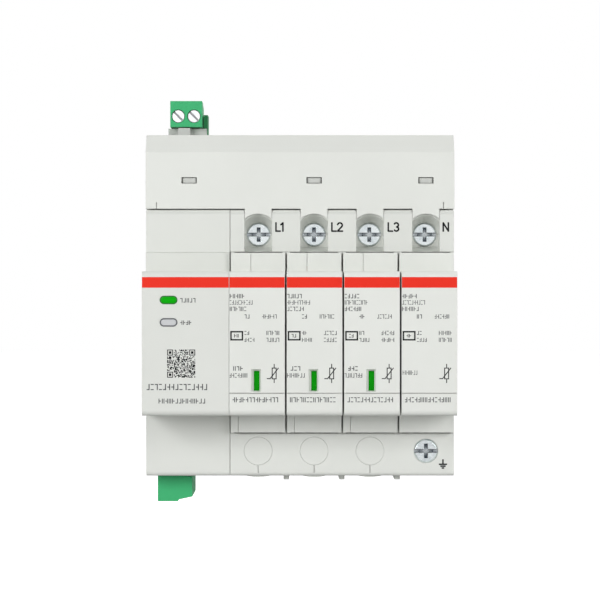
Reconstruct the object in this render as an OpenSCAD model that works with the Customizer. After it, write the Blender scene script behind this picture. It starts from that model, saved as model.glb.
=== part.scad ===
// Pluggable surge arrester for a 35 mm rail: three phase poles and a neutral pole,
// a communication module on the left and a current-sensor box along the top.
// X runs to the right, Y towards the wall and Z up. The origin is the middle of the rail seat.

/* [Body] */
// Width of one pole
pole_pitch = 17.8; // [17.6:0.1:20]
// Width of the communication module
module_w = 26.8; // [26:0.2:36]
// Height of the base
base_h = 85; // [84:0.5:95]
// Distance from the rail seat to the shoulders
shoulder_d = 43; // [42.5:0.5:50]
// How far the noses stand in front of the shoulders
nose_step = 21; // [20:0.5:26]
// How far the cartridge wings stand in front of the shoulders
wing_step = 3.6; // [2.5:0.1:5]
// Height of the noses
nose_h = 44.8; // [43:0.1:46]
// Height of a shoulder beyond the cartridge wings
shoulder_h = 14; // [13:0.1:16]
// Wall of the moulded housings
wall = 1.5; // [1.2:0.1:2]

/* [Rail mount] */
// Height of the mounting rail
rail_h = 35; // [34.5:0.1:35.5]
// Depth of the hooks behind the rail seat
hook_d = 6.2; // [6:0.1:8]
// Overlap of a hook behind the rail edge
hook_lip = 1.3; // [1:0.1:1.8]
// Width of a rail clip
clip_w = 14; // [10:0.5:18]
// Travel of a rail clip
clip_travel = 3.2; // [2:0.1:4]

/* [Sensor box] */
// Height of the sensor box above the base
cover_h = 23.8; // [22:0.2:30]
// Height of the bevel along the top of the cover
bevel_h = 5.7; // [4:0.1:8]
// Depth of that bevel
bevel_d = 4.8; // [3:0.1:6]
// Wall of the cover
cover_wall = 1.6; // [1.2:0.1:2.2]
// Height of the latch windows above the base
latch_z = 9.1; // [7:0.1:12]
// Width of a latch window
latch_w = 4.84; // [4:0.1:6]
// Height of a latch window
latch_h = 2; // [1.6:0.1:3]

/* [Terminals] */
// Mouth radius of a screwdriver funnel
funnel_r = 6.43; // [6:0.01:6.8]
// Width of a screwdriver funnel between the label tabs
funnel_w = 8.76; // [8:0.02:10]
// Depth of the upper screw heads behind the shoulder
screw_sink = 8.7; // [7:0.1:9.5]
// Depth of the earth screw head behind the shoulder
earth_sink = 0.3; // [0:0.1:2]
// Radius of a terminal screw head
head_r = 3.75; // [3.2:0.05:3.9]
// Height of a terminal screw head
head_h = 2.5; // [2:0.1:3]
// Radius of a terminal screw thread
thread_r = 2.5; // [2:0.1:2.8]
// Room for the wire in an open cage
wire_gap = 8; // [6:0.1:9]
// Travel of a cage
cage_travel = 4.5; // [3:0.1:5.2]
// Width of a cage
cage_w = 9; // [8:0.1:10]

/* [Cartridges] */
// Gap between two cartridges
cartridge_gap = 0.55; // [0.4:0.05:0.8]
// Width of the plugged part of a cartridge
plug_w = 14.6; // [13.6:0.1:14.8]
// Wall of a cartridge
case_wall = 1.2; // [1:0.1:1.5]
// Height of the flag window above the rail centre
flag_z = -11.4; // [-12:0.1:-11]
// Width of the flag window at the front
flag_w = 3; // [2.6:0.1:3.4]
// Place of the flag window beside the middle of its pole
flag_x = -0.3; // [-0.4:0.05:0]
// Height of the flag window at the front
flag_h = 6.8; // [6:0.1:7]
// Travel of a flag
flag_travel = 6.2; // [5.5:0.1:6.4]
// Height of the label edge above the rail centre
label_z = -15.4; // [-17:0.1:-15.2]
// Distance of the blades from the ends of the wings
blade_in = 7; // [6:0.1:8]
// Thickness of a varistor
varistor_t = 9; // [6:0.2:9.4]
// Room between a varistor and the blades
varistor_gap = 1.5; // [1.2:0.1:4]
// Radius of the gas tube
tube_r = 5.5; // [4:0.1:5.6]

/* [Connectors] */
// Distance between two ways of a plug
plug_pitch = 5.08; // [5:0.01:5.2]
// Ways of the data plug
data_ways = 5; // [3:1:5]
// Depth of the supply plug from its screws to its back
supply_d = 15.5; // [14.5:0.1:16]
// Height of the supply plug
supply_h = 8.4; // [8:0.1:10]
// Depth of the data plug from its screws to its back
data_d = 11.1; // [11:0.1:12]
// Height of the data plug
data_h = 8.65; // [8:0.1:10]

/* [Lenses] */
// Height of the power lens above the rail centre
power_z = 13.5; // [11:0.1:15]
// Height of the communication lens above the rail centre
com_z = 6.56; // [4:0.02:8]
// Length of a lens
lens_w = 5.27; // [4:0.01:6]
// Height of a lens
lens_h = 2.4; // [2:0.1:3]

/* [Hidden] */
$fn = 64;
poles = 4;
total_w = poles * pole_pitch + module_w;
left = -total_w / 2;
right = total_w / 2;
split = left + module_w;
module_x = left + module_w / 2;
top = base_h / 2;
shoulder_y = -shoulder_d;
nose_y = shoulder_y - nose_step;
wing_y = shoulder_y - wing_step;
nose_z = nose_h / 2;
wing_z = top - shoulder_h;
// back of the cartridge fronts and front of the bay walls
rest_y = shoulder_y + 0.1;
bay_y = rest_y + 0.3;
bay_z = wing_z + 0.35;
bay_low = wing_z + 0.47;
plug_z = wing_z - 0.2;
plug_x = plug_w / 2;
bay_x = plug_x + 0.3;
front_x = (pole_pitch - cartridge_gap) / 2;
chamfer_h = 1.6;
chamfer_d = 0.8;
// step behind the lower edge of the cover
lap_h = 0.4;
lap_d = 3;
edge_r = 1.3;
// front of the ribs below the base
rib_y = shoulder_y + 6.2;
// layers from the bay floor to the rail plate
floor_y = -20;
floor_t = 2;
plate_y = -3;
rear_y = floor_y - 0.3;
strip_y = -7;
strip_t = 1.2;
leaf_y = floor_y + floor_t + 0.5;
blade_h = 6;
blade_t = 1;
blade_y = -9;
blade_z = wing_z - blade_in;
varistor_h = 2 * (blade_z - blade_h / 2 - varistor_gap);
// terminal layers, counted from the underside of the screw head
web_t = 0.85;
cage_y = web_t + 0.25 + cage_travel;
cage_t = 1.8;
tip_y = cage_y + cage_t + 1.8;
bar_y = tip_y + 0.05;
bar_t = 1.5;
bar_w = cage_w - 2.2;
cage_back = bar_y + bar_t + wire_gap;
cage_end = cage_back + 1.2;
wire_y = bar_y + bar_t + wire_gap / 2;
run_z = bay_z + 1;
run_t = 1;
cage_z = run_z + run_t + 0.5;
cage_h = 6.4;
screw_z = cage_z + cage_h / 2;
pocket_z = cage_z + cage_h + 0.5;
entry_w = cage_w - 1;
entry_d = wire_gap - 0.4;
duct_y = shoulder_y + screw_sink + head_h + wire_y;
// sensor box
cover_top = top + cover_h;
cover_low = top + 0.05;
cover_back = shoulder_y + bevel_d + 2.2;
cover_over = 0.15;
tray_back = -2;
tray_t = 1.6;
tray_floor = top + tray_t;
ring_z = tray_floor + 3;
board_z = top + 14.5;
board_t = 1.6;
latch_x = [left + 13.7, split + 1.5 * pole_pitch, right - pole_pitch / 2];
// module
seam_y = shoulder_y + 7;
module_r = split - 0.15;
nose_r = split + 0.19;
lens_x = left + 8.3;
rail_z = rail_h / 2 + 0.2;
seat_z = rail_h / 2 - 1.9;
clip_y = 1.3;
clip_t = 3;
clip_x = [module_x, split + 1.5 * pole_pitch + pole_pitch / 2];
// supply connector: plug row along X, mating upwards
supply_w = 2 * plug_pitch + 0.1;
supply_x = left + 7 + supply_w / 2;
supply_y = shoulder_y + 13;
supply_z = cover_top + 3.2;
supply_nose = [0.46 * supply_d, supply_d - 1.2];
supply_screw_v = 3.5;
// data connector: plug row along Y, mating downwards
data_w = data_ways * plug_pitch + 0.5;
data_x = left + 3.2;
data_y = shoulder_y + 9 + data_w / 2;
data_z = -top - 0.15;
data_nose = [2.8, data_d - 2.1];
nose_l = 8;
circuit_x = data_x + data_d - 0.9;
circuit_t = 1.6;
screw_head_r = 1.95;

light_grey = "#dfe0dc";
mid_grey = "#c9cbc8";
green = "#2f9e62";
zinc = "#c8ccd0";
copper = "#c58a52";

function pole_x(i) = split + pole_pitch * (i + 0.5);
function term_x(i) = pole_x(min(i, poles - 1));
function term_y(i) = shoulder_y + head_h + (i < poles ? screw_sink : earth_sink);

module block(lo, hi) {
  translate(lo) cube(hi - lo);
}

// profile drawn in Y and Z, carried along X
module along_x(x0, x1) {
  translate([x0, 0, 0]) rotate([90, 0, 90]) linear_extrude(x1 - x0) children();
}

// profile drawn in X and Z, carried along Y
module along_y(y0, y1) {
  translate([0, y1, 0]) rotate([90, 0, 0]) linear_extrude(y1 - y0) children();
}

module rod_y(r, y0, y1) {
  translate([0, y0, 0]) rotate([-90, 0, 0]) cylinder(r = r, h = y1 - y0);
}

module round_rect(w, h, r) {
  square([w - 2 * r, h], center = true);
  square([w, h - 2 * r], center = true);
  for (sx = [-1, 1], sy = [-1, 1]) {
    translate([sx * (w / 2 - r), sy * (h / 2 - r)]) circle(r);
  }
}

// waste of a rounded corner at p, where d points into the material
module corner(p, d, r) {
  difference() {
    translate([p.x + (d.x - 1) / 2 * r - (d.x + 1) / 2 * 0.2,
      p.y + (d.y - 1) / 2 * r - (d.y + 1) / 2 * 0.2])
      square(r + 0.2);
    translate(p + r * d) circle(r);
  }
}

module at_pole(i) {
  translate([pole_x(i), 0, 0]) children();
}

module at_terminal(i) {
  translate([term_x(i), term_y(i), 0]) mirror([0, 0, i < poles ? 0 : 1]) children();
}

module at_supply() {
  translate([supply_x, supply_y, supply_z]) children();
}

module at_data() {
  translate([data_x, data_y, data_z]) rotate(180, [1, 1, 0]) children();
}

// shallow field in an outer side wall, with the rivet ends left standing in it
module side_field(front) {
  back = plate_y - 3.5;
  rotate([90, 0, 90]) linear_extrude(0.8, center = true) difference() {
    translate([(front + back) / 2, 0]) round_rect(back - front, base_h - 9, 2);
    for (y = [front + 4.5, back - 4.5], s = [-1, 1]) {
      translate([y, s * (top - 9.5)]) circle(2.2);
    }
  }
}

// base of the four poles
module shoulder_profile(back) {
  difference() {
    polygon([[shoulder_y, top - chamfer_h], [shoulder_y + chamfer_d, top - lap_h],
      [shoulder_y + lap_d, top - lap_h], [shoulder_y + lap_d, top], [back, top],
      [back, -top], [shoulder_y, -top]]);
    corner([shoulder_y, -top], [1, 1], edge_r);
  }
}

module terminal_cut(i) {
  mouth = -(i < poles ? screw_sink : earth_sink) - head_h;
  translate([0, 0, screw_z]) rod_y(head_r + 0.18, -head_h - 0.6, 0);
  translate([0, 0, screw_z]) rod_y(thread_r + 0.3, -1, web_t + 1);
  block([-cage_w / 2 - 0.4, web_t, run_z - 0.05], [cage_w / 2 + 0.4, cage_end + 0.4, pocket_z]);
  block([-cage_w / 2 - 0.4, web_t, cage_z - 0.3], [cage_w / 2 + 0.4, plate_y + 1 - term_y(i), pocket_z]);
  block([-bar_w / 2 - 0.3, bar_y, run_z - 0.05], [bar_w / 2 + 0.3, plate_y + 1 - term_y(i), cage_z]);
  translate([0, wire_y, pocket_z - 1]) linear_extrude(top - pocket_z + 2) round_rect(entry_w, entry_d, 1.5);
  if (i < poles) {
    intersection() {
      block([-funnel_w / 2, mouth - 1, bay_z - 3], [funnel_w / 2, 0, top + 1]);
      translate([0, mouth - 0.5, screw_z]) rotate([-90, 0, 0])
        cylinder(r1 = funnel_r + 0.15, r2 = head_r + 0.18, h = screw_sink + 0.5);
    }
    along_x(-funnel_w / 2, funnel_w / 2) polygon([[mouth - 1, screw_z - funnel_r - 0.3],
      [-head_h, screw_z - head_r - 0.18], [-head_h, screw_z], [mouth - 1, screw_z]]);
    block([-funnel_w / 2, mouth - 1, screw_z], [funnel_w / 2, mouth + cover_wall + 0.2, top + 1]);
  } else {
    translate([0, 0, screw_z]) rod_y(head_r + 0.15, mouth - 1, 0);
  }
}

module base_housing() {
  color(light_grey) difference() {
    union() {
      along_x(split, right) difference() {
        shoulder_profile(plate_y);
        translate([shoulder_y - 1, -bay_low]) square([bay_y - shoulder_y + 1, bay_z + bay_low]);
      }
      for (k = [1 : poles - 1]) {
        translate([split + k * pole_pitch, 0, 0])
          block([-0.9, rib_y, -top - 1.6], [0.9, plate_y - 2, -top + 0.1]);
      }
      for (i = [0 : poles - 2]) {
        at_pole(i) intersection() {
          block([-4, shoulder_y + 1.4, -top - 1], [4, rib_y - 0.7, -top + 0.1]);
          translate([0, 0, -top + 13.7]) rod_y(14.2, shoulder_y, rib_y);
        }
      }
    }
    for (i = [0 : poles - 1]) {
      at_pole(i) block([-bay_x, shoulder_y - 1, -bay_low], [bay_x, floor_y, bay_z]);
      at_pole(i)
        block([-bay_x + 0.2, floor_y + floor_t, -bay_z + 1], [bay_x - 0.2, plate_y + 1, bay_z - 1]);
      for (s = [-1, 1]) {
        at_pole(i) block([-blade_t / 2 - 0.3, floor_y - 1, s * blade_z - blade_h / 2 - 0.3],
          [blade_t / 2 + 0.3, floor_y + floor_t + 1, s * blade_z + blade_h / 2 + 0.3]);
      }
      at_pole(i) block([-bar_w / 2 - 0.3, strip_y - strip_t - 0.3, bay_z - 2],
        [bar_w / 2 + 0.3, plate_y + 1, cage_z]);
      at_terminal(i) terminal_cut(i);
    }
    at_terminal(poles) terminal_cut(poles);
    at_pole(poles - 1) block([-bar_w / 2 - 0.3, strip_y - strip_t - 0.3, -cage_z],
      [bar_w / 2 + 0.3, plate_y + 1, -bay_z + 2]);
    // hollow lower shoulders of the phase poles, with their capped screw holes
    for (i = [0 : poles - 2]) {
      at_pole(i)
        block([-bay_x + 0.2, shoulder_y + 2.5, -top + 2], [bay_x - 0.2, plate_y + 1, -bay_z - 1.2]);
      at_pole(i) translate([0, 0, -screw_z]) rod_y(4.5, shoulder_y - 1, shoulder_y + 3);
      at_pole(i) block([-0.12, shoulder_y - 1, -top + 1], [0.12, shoulder_y + 0.3, -screw_z]);
    }
    translate([right, 0, 0]) side_field(shoulder_y + 4.5);
    // way of the neutral bus through the walls between the poles
    block([pole_x(0), strip_y - strip_t - 0.3, -blade_z - blade_h / 2 - 0.3],
      [split + 3 * pole_pitch + 3, plate_y + 1, -blade_z + blade_h / 2 + 0.3]);
    block([split + 3 * pole_pitch - 3, strip_y - strip_t - 0.3, -blade_z - blade_h / 2 - 0.3],
      [split + 3 * pole_pitch + 3, plate_y + 1, blade_z + blade_h / 2 + 0.3]);
  }
}

// back plate with the rail seat, the fixed hook and the ways of the clips
module rail_plate() {
  color(mid_grey) difference() {
    union() {
      along_x(left, right) polygon([[plate_y, top], [hook_d - 2.5, top], [hook_d, top - 2.5],
        [hook_d, rail_z - hook_lip + 0.8], [hook_d - 0.8, rail_z - hook_lip], [1.3, rail_z - hook_lip],
        [1.3, rail_z], [-0.6, rail_z], [-0.6, seat_z], [0, seat_z], [0, -seat_z], [-0.6, -seat_z],
        [-0.6, -rail_z - 0.6], [hook_d, -rail_z - 0.6], [hook_d, 2.5 - top], [hook_d - 2.5, -top],
        [plate_y, -top]]);
      for (i = [0 : poles - 1], s = [-1, 1]) {
        at_pole(i) block([-2.5, strip_y, s * blade_z - 2.5], [2.5, plate_y + 0.5, s * blade_z + 2.5]);
      }
    }
    for (x = clip_x) {
      translate([x, 0, 0]) block([-clip_w / 2 - 0.3, clip_y - 0.3, -top - 1],
        [clip_w / 2 + 0.3, clip_y + clip_t + 0.3, -rail_z]);
    }
  }
}

module rail_clip(x) {
  color("#8d9194") translate([x, 0, 0]) difference() {
    union() {
      along_x(-clip_w / 2, clip_w / 2) polygon([[clip_y, -top - 1.8], [clip_y + clip_t, -top - 1.8],
        [clip_y + clip_t, -rail_z + hook_lip - 1], [clip_y + clip_t - 1.2, -rail_z + hook_lip],
        [clip_y, -rail_z + hook_lip]]);
    }
    for (s = [-1, 1]) {
      translate([s * clip_w / 4, 0, 0]) block([-0.8, 0, -top + 5], [0.8, 6, -rail_z - 4]);
    }
    block([-2.5, 0, -top - 1], [2.5, 6, -top + 0.6]);
  }
}

module rail_clip_left() {
  rail_clip(clip_x[0]);
}

module rail_clip_right() {
  rail_clip(clip_x[1]);
}

// caps over the unused lower screw holes
module blanking_caps() {
  color(light_grey) for (i = [0 : poles - 2]) {
    at_pole(i) translate([0, 0, -screw_z]) difference() {
      union() {
        rod_y(4.45, shoulder_y + 0.05, shoulder_y + 3.4);
        block([-5.4, shoulder_y + 2.5, -2.5], [5.4, shoulder_y + 3.4, 2.5]);
      }
      rod_y(3.2, shoulder_y + 1.6, shoulder_y + 5);
    }
  }
}

// contact strip from a terminal to the jaw of its pole
module jaw(s) {
  for (k = [-1, 1]) {
    translate([k * (blade_t / 2 + 0.5), 0, s * blade_z])
      block([-0.35, leaf_y, -blade_h / 2], [0.35, strip_y - strip_t + 0.1, blade_h / 2]);
  }
  block([-bar_w / 2, strip_y - strip_t, s * blade_z - blade_h / 2],
    [bar_w / 2, strip_y, s * blade_z + blade_h / 2]);
}

module contact(i) {
  back = strip_y - term_y(i);
  at_terminal(i) {
    block([-bar_w / 2, bar_y, run_z], [bar_w / 2, bar_y + bar_t, pocket_z - 0.3]);
    block([-bar_w / 2, bar_y, run_z], [bar_w / 2, back, run_z + run_t]);
    block([-bar_w / 2, back - strip_t, blade_z], [bar_w / 2, back, run_z + run_t]);
  }
  translate([term_x(i), 0, 0]) jaw(i < poles ? 1 : -1);
}

module phase_contact_l1() {
  color(copper) contact(0);
}

module phase_contact_l2() {
  color(copper) contact(1);
}

module phase_contact_l3() {
  color(copper) contact(2);
}

module neutral_bus() {
  riser = split + 3 * pole_pitch;
  color(copper) union() {
    contact(3);
    for (i = [0 : poles - 2]) {
      at_pole(i) jaw(-1);
    }
    block([pole_x(0), strip_y - strip_t, -blade_z - blade_h / 2],
      [riser + 2.6, strip_y, -blade_z + blade_h / 2]);
    block([riser - 2.6, strip_y - strip_t, -blade_z], [riser + 2.6, strip_y, blade_z + blade_h / 2]);
    block([riser, strip_y - strip_t, blade_z - blade_h / 2], [pole_x(3), strip_y, blade_z + blade_h / 2]);
  }
}

module earth_contact() {
  color(copper) contact(poles);
}

// captive terminal screw with a cross and a slot
module terminal_screw(i) {
  color(zinc) at_terminal(i) translate([0, 0, screw_z]) difference() {
    union() {
      rod_y(head_r, -head_h + 0.4, -0.05);
      translate([0, -head_h, 0]) rotate([-90, 0, 0]) cylinder(r1 = head_r - 0.4, r2 = head_r, h = 0.4);
      rod_y(thread_r, -0.2, tip_y);
    }
    block([-head_r - 1, -head_h - 1, -0.6], [head_r + 1, -head_h + 1.2, 0.6]);
    block([-0.6, -head_h - 1, -2.3], [0.6, -head_h + 1.5, 2.3]);
    block([-2.3, -head_h - 1, -0.6], [2.3, -head_h + 1.5, 0.6]);
  }
}

module terminal_screw_l1() {
  terminal_screw(0);
}

module terminal_screw_l2() {
  terminal_screw(1);
}

module terminal_screw_l3() {
  terminal_screw(2);
}

module terminal_screw_n() {
  terminal_screw(3);
}

module terminal_screw_pe() {
  terminal_screw(4);
}

// lifting cage that pulls the wire against the contact bar
module terminal_cage(i) {
  color("#b9bcc0") at_terminal(i) difference() {
    block([-cage_w / 2, cage_y, cage_z], [cage_w / 2, cage_end, cage_z + cage_h]);
    block([-cage_w / 2 + 0.9, cage_y + cage_t, cage_z - 1],
      [cage_w / 2 - 0.9, cage_back, cage_z + cage_h + 1]);
    translate([0, 0, screw_z]) rod_y(thread_r + 0.3, cage_y - 1, cage_y + cage_t + 1);
  }
}

module terminal_cage_l1() {
  terminal_cage(0);
}

module terminal_cage_l2() {
  terminal_cage(1);
}

module terminal_cage_l3() {
  terminal_cage(2);
}

module terminal_cage_n() {
  terminal_cage(3);
}

module terminal_cage_pe() {
  terminal_cage(4);
}

// cartridge case: nose, wings and the plugged part
module wing_profile() {
  polygon([[wing_y, wing_z], [rest_y, wing_z], [rest_y, -wing_z], [wing_y, -wing_z], [wing_y, 0],
    [wing_y + 0.7, nose_z - 0.5]]);
}

module front_profile() {
  difference() {
    union() {
      translate([nose_y, -nose_z]) square([rest_y - nose_y, nose_h]);
      wing_profile();
    }
    corner([nose_y, nose_z], [1, -1], 1.2);
    corner([nose_y, -nose_z], [1, 1], 1.9);
    translate([nose_y - 1, label_z - 0.12]) square([1.5, 0.24]);
  }
}

// wing blocks that belong to the lid, drawn with a gap g around them
module lid_wings(g) {
  intersection() {
    along_x(-front_x - g, front_x) wing_profile();
    union() {
      block([-front_x - g, wing_y - 1, nose_z + 0.12 - g], [-front_x + 6.3 + g, rest_y + 1, wing_z + 1]);
      block([-front_x - g, wing_y - 1, -wing_z - 1], [-front_x + 2.3 + g, rest_y + 1, -nose_z - 0.12 + g]);
    }
  }
}

module flag_window() {
  intersection() {
    along_x(-flag_w, flag_w) polygon([[nose_y - 0.5, flag_z + flag_h / 2 + 0.25],
      [nose_y + wall + 0.1, flag_z + flag_h / 2 - 0.55], [nose_y + wall + 0.1, flag_z - flag_h / 2 + 0.2],
      [nose_y - 0.5, flag_z - flag_h / 2 - 0.15]]);
    linear_extrude(4 * nose_z, center = true) polygon([[flag_x - flag_w / 2 - 0.25, nose_y - 0.5],
      [flag_x + flag_w / 2 + 0.15, nose_y - 0.5], [flag_x + flag_w / 2 - 0.5, nose_y + wall + 0.1],
      [flag_x - flag_w / 2 + 0.85, nose_y + wall + 0.1]]);
  }
}

module cartridge_shell(i) {
  lid = i < poles - 1;
  in_x = plug_x - case_wall;
  difference() {
    union() {
      difference() {
        union() {
          along_x(-front_x, front_x) front_profile();
          block([lid ? -in_x + 0.05 : -plug_x, rest_y - 0.5, -plug_z], [plug_x, rear_y, plug_z]);
        }
        block([-front_x + case_wall, nose_y + wall, -nose_z + wall],
          [front_x - case_wall, rest_y - 1, nose_z - wall]);
        block([lid ? -plug_x - 1 : -in_x, rest_y + (lid ? 0 : -0.5), -plug_z + case_wall],
          [in_x, rear_y - case_wall, plug_z - case_wall]);
        block([-in_x, rest_y - 2, -nose_z + wall], [in_x, rest_y + 1, nose_z - wall]);
      }
      // carriers of the varistor or the tube
      for (s = [-1, 1]) {
        block([-3, rest_y + 1.5, s * (varistor_h / 2 + 1) - 1],
          [in_x + 0.2, rest_y + 9, s * (varistor_h / 2 + 1) + 1]);
      }
      if (lid) {
        // guides of the flag and the seat of its spring
        for (s = [-1, 1]) {
          translate([s * (flag_w / 2 + 0.95), 0, 0])
            block([-0.5, nose_y + wall - 0.1, -nose_z + wall - 0.1], [0.5, nose_y + wall + 2.4, 6]);
          translate([s * (flag_w / 2 + 0.55), 0, 0])
            block([-0.9, nose_y + wall + 1.8, -nose_z + wall - 0.1], [0.9, nose_y + wall + 2.4, 6]);
        }
        block([-2.5, nose_y + 6, flag_z - 2.6], [front_x - case_wall + 0.1, nose_y + 12, flag_z - 0.6]);
      }
    }
    if (lid) {
      lid_wings(0.1);
      flag_window();
    }
    for (s = [-1, 1]) {
      block([-blade_t / 2 - 0.2, rear_y - case_wall - 1, s * blade_z - blade_h / 2 - 0.2],
        [blade_t / 2 + 0.2, rear_y + 1, s * blade_z + blade_h / 2 + 0.2]);
    }
  }
}

module cartridge_case_l1() {
  color(light_grey) at_pole(0) cartridge_shell(0);
}

module cartridge_case_l2() {
  color(light_grey) at_pole(1) cartridge_shell(1);
}

module cartridge_case_l3() {
  color(light_grey) at_pole(2) cartridge_shell(2);
}

module cartridge_case_n() {
  color(light_grey) at_pole(3) cartridge_shell(3);
}

module cartridge_lid(i) {
  color(light_grey) at_pole(i) union() {
    block([-plug_x, rest_y - 0.4, -plug_z], [-plug_x + case_wall, rear_y, -nose_z - 0.12]);
    block([-plug_x, rest_y + 0.1, -plug_z], [-plug_x + case_wall, rear_y, plug_z]);
    block([-plug_x, rest_y - 0.4, nose_z + 0.12], [-plug_x + case_wall, rear_y, plug_z]);
    lid_wings(0);
  }
}

module cartridge_lid_l1() {
  cartridge_lid(0);
}

module cartridge_lid_l2() {
  cartridge_lid(1);
}

module cartridge_lid_l3() {
  cartridge_lid(2);
}

module varistor(i) {
  color("#3b6ea5") at_pole(i) translate([-varistor_t / 2, 0, 0]) rotate([90, 0, 90])
    linear_extrude(varistor_t)
    translate([(rear_y + rest_y - 9) / 2, 0]) round_rect(rear_y - rest_y + 4, varistor_h, 3);
}

module varistor_l1() {
  varistor(0);
}

module varistor_l2() {
  varistor(1);
}

module varistor_l3() {
  varistor(2);
}

module gas_tube() {
  color("#e8e4da") at_pole(3) translate([0, rear_y - 11, -8]) union() {
    cylinder(r = tube_r, h = 1.5);
    translate([0, 0, 1.4]) cylinder(r = tube_r - 0.4, h = 13.2);
    translate([0, 0, 14.5]) cylinder(r = tube_r, h = 1.5);
  }
}

// blade of a cartridge with the leg that reaches its electrode
module blade(lid) {
  leg = rear_y - 4;
  block([-blade_t / 2, leg - 0.9, blade_z - blade_h / 2], [blade_t / 2, blade_y, blade_z + blade_h / 2]);
  if (lid) {
    block([-varistor_t / 2 - 1, leg - 0.9, blade_z - blade_h / 2],
      [blade_t / 2, leg, blade_z + blade_h / 2]);
    block([-varistor_t / 2 - 1, leg - 6, -6], [-varistor_t / 2 - 0.05, leg, blade_z + blade_h / 2]);
  } else {
    block([-3, leg - 0.9, 8.05], [3, leg, blade_z + blade_h / 2]);
    block([-3, leg - 11, 8.05], [3, leg, 9.2]);
  }
}

module blades(i) {
  color(copper) at_pole(i) {
    blade(i < poles - 1);
    rotate([0, 180, 0]) blade(i < poles - 1);
  }
}

module blades_l1() {
  blades(0);
}

module blades_l2() {
  blades(1);
}

module blades_l3() {
  blades(2);
}

module blades_n() {
  blades(3);
}

// flag with a shown field, a hidden field under it and the arm that its spring lifts
module flag(i) {
  front = nose_y + wall + 0.3;
  color("#0a9016") at_pole(i) union() {
    block([-flag_w / 2 - 0.1, front, -nose_z + wall + 0.1],
      [flag_w / 2 + 0.1, front + 1.2, flag_z + flag_h / 2]);
    block([-0.45, front, flag_z], [0.45, front + 1.2, flag_z + 13]);
    block([-0.45, front, flag_z + 11], [0.45, nose_y + 11, flag_z + 13]);
    translate([0, nose_y + 9, flag_z + 11]) cylinder(r = 2, h = 1.2);
  }
}

module flag_l1() {
  flag(0);
}

module flag_l2() {
  flag(1);
}

module flag_l3() {
  flag(2);
}

// coil under the arm of a flag
module trip_spring(i) {
  turns = 5;
  steps = 14 * turns;
  sides = 6;
  wire = 0.25;
  coil = 1.6;
  low = flag_z - 0.6 + wire + 0.05;
  rise = 11.5 - 2 * wire;
  rings = [for (k = [0 : steps], s = [0 : sides - 1]) let (a = 360 * turns * k / steps, b = 360 * s / sides,
    r = coil + wire * cos(b)) [r * cos(a), r * sin(a), low + rise * k / steps + wire * sin(b)]];
  skin = [for (k = [0 : steps - 1], s = [0 : sides - 1]) let (n = (s + 1) % sides)
    [k * sides + s, k * sides + n, (k + 1) * sides + n, (k + 1) * sides + s]];
  ends = [[for (s = [sides - 1 : -1 : 0]) s], [for (s = [0 : sides - 1]) steps * sides + s]];
  color(zinc) at_pole(i) translate([0, nose_y + 9, 0]) polyhedron(rings, concat(skin, ends));
}

module trip_spring_l1() {
  trip_spring(0);
}

module trip_spring_l2() {
  trip_spring(1);
}

module trip_spring_l3() {
  trip_spring(2);
}

// front cover of the sensor box with a tab over each screw funnel
module sensor_cover() {
  k = cover_wall;
  color(light_grey) difference() {
    union() {
      difference() {
        along_x(left - cover_over, right + cover_over)
          polygon([[shoulder_y, cover_low], [shoulder_y, cover_top - bevel_h],
          [shoulder_y + bevel_d, cover_top], [cover_back, cover_top], [cover_back, cover_low]]);
        along_x(left + k, right - k)
          polygon([[shoulder_y + k, cover_low - 1], [shoulder_y + k, cover_top - bevel_h - 0.6],
          [shoulder_y + bevel_d + 0.4, cover_top - k], [cover_back + 1, cover_top - k],
            [cover_back + 1, cover_low - 1]]);
      }
      for (i = [0 : poles - 1]) {
        at_pole(i) difference() {
          block([-funnel_w / 2 + 0.1, shoulder_y, screw_z],
            [funnel_w / 2 - 0.1, shoulder_y + k, cover_low + 1]);
          translate([0, 0, screw_z]) rod_y(funnel_r, shoulder_y - 1, shoulder_y + k + 1);
        }
      }
    }
    for (x = latch_x) {
      translate([x, 0, top + latch_z])
        block([-latch_w / 2, shoulder_y - 1, -latch_h / 2], [latch_w / 2, shoulder_y + k + 1, latch_h / 2]);
    }
    for (x = [left + 3.3, right - 3.3]) {
      translate([x, 0, 0])
        block([-0.12, shoulder_y - 1, cover_low - 1], [0.12, shoulder_y + 0.4, cover_low + 2.1]);
    }
  }
}

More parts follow.
